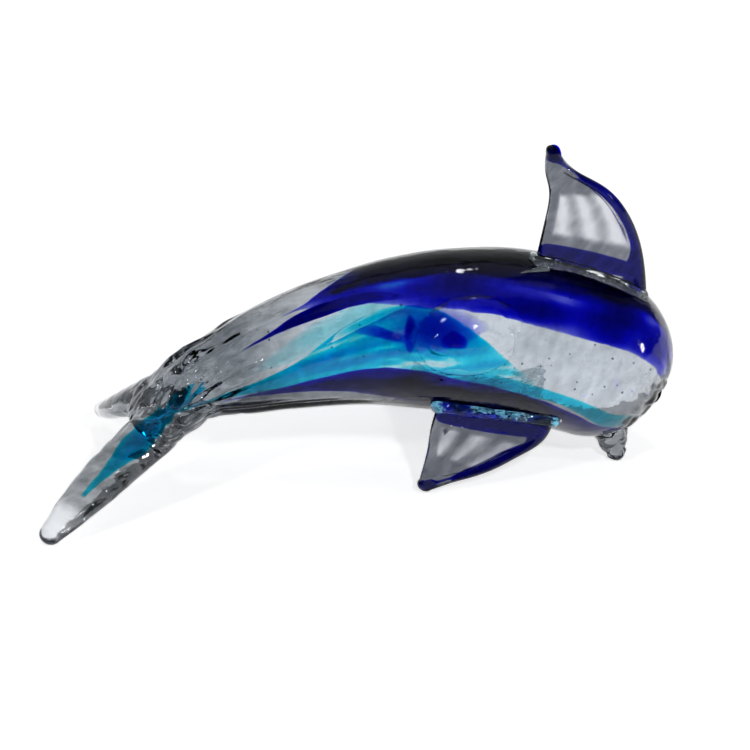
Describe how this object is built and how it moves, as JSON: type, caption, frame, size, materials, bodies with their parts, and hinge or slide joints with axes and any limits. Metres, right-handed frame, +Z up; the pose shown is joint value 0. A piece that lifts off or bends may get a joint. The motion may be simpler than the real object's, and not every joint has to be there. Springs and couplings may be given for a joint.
{
  "type": "crystal glass dolphin figurine",
  "caption": "Leaping dolphin in solid clear crystal with cobalt and turquoise glass cased inside, standing on its beak, flippers and a fluke.",
  "frame": {"origin": "on the table, under the middle of the figurine's box", "axes": "+X towards the head, +Y towards the dolphin's left, +Z up from the table"},
  "size_m": [0.2056, 0.0756, 0.1067],
  "materials": {
    "clear_crystal": "fire-polished",
    "cobalt_glass": "fire-polished",
    "aqua_glass": "fire-polished"
  },
  "bodies": {
    "root": {"aqua_fluke_streak": "aqua_glass", "beak": "clear_crystal", "clear_core": "clear_crystal", "cobalt_overlay": "cobalt_glass", "crystal_casing": "clear_crystal", "dorsal_fin_blade": "clear_crystal", "dorsal_fin_cobalt_rim": "cobalt_glass", "dorsal_fin_foot": "clear_crystal", "left_aqua_stripe": "aqua_glass", "left_flipper_blade": "clear_crystal", "left_flipper_cobalt_rim": "cobalt_glass", "left_flipper_foot": "clear_crystal", "left_fluke": "clear_crystal", "pontil_pad": "clear_crystal", "right_aqua_stripe": "aqua_glass", "right_flipper_blade": "clear_crystal", "right_flipper_cobalt_rim": "cobalt_glass", "right_flipper_foot": "clear_crystal", "right_fluke": "clear_crystal"}
  },
  "joints": []
}
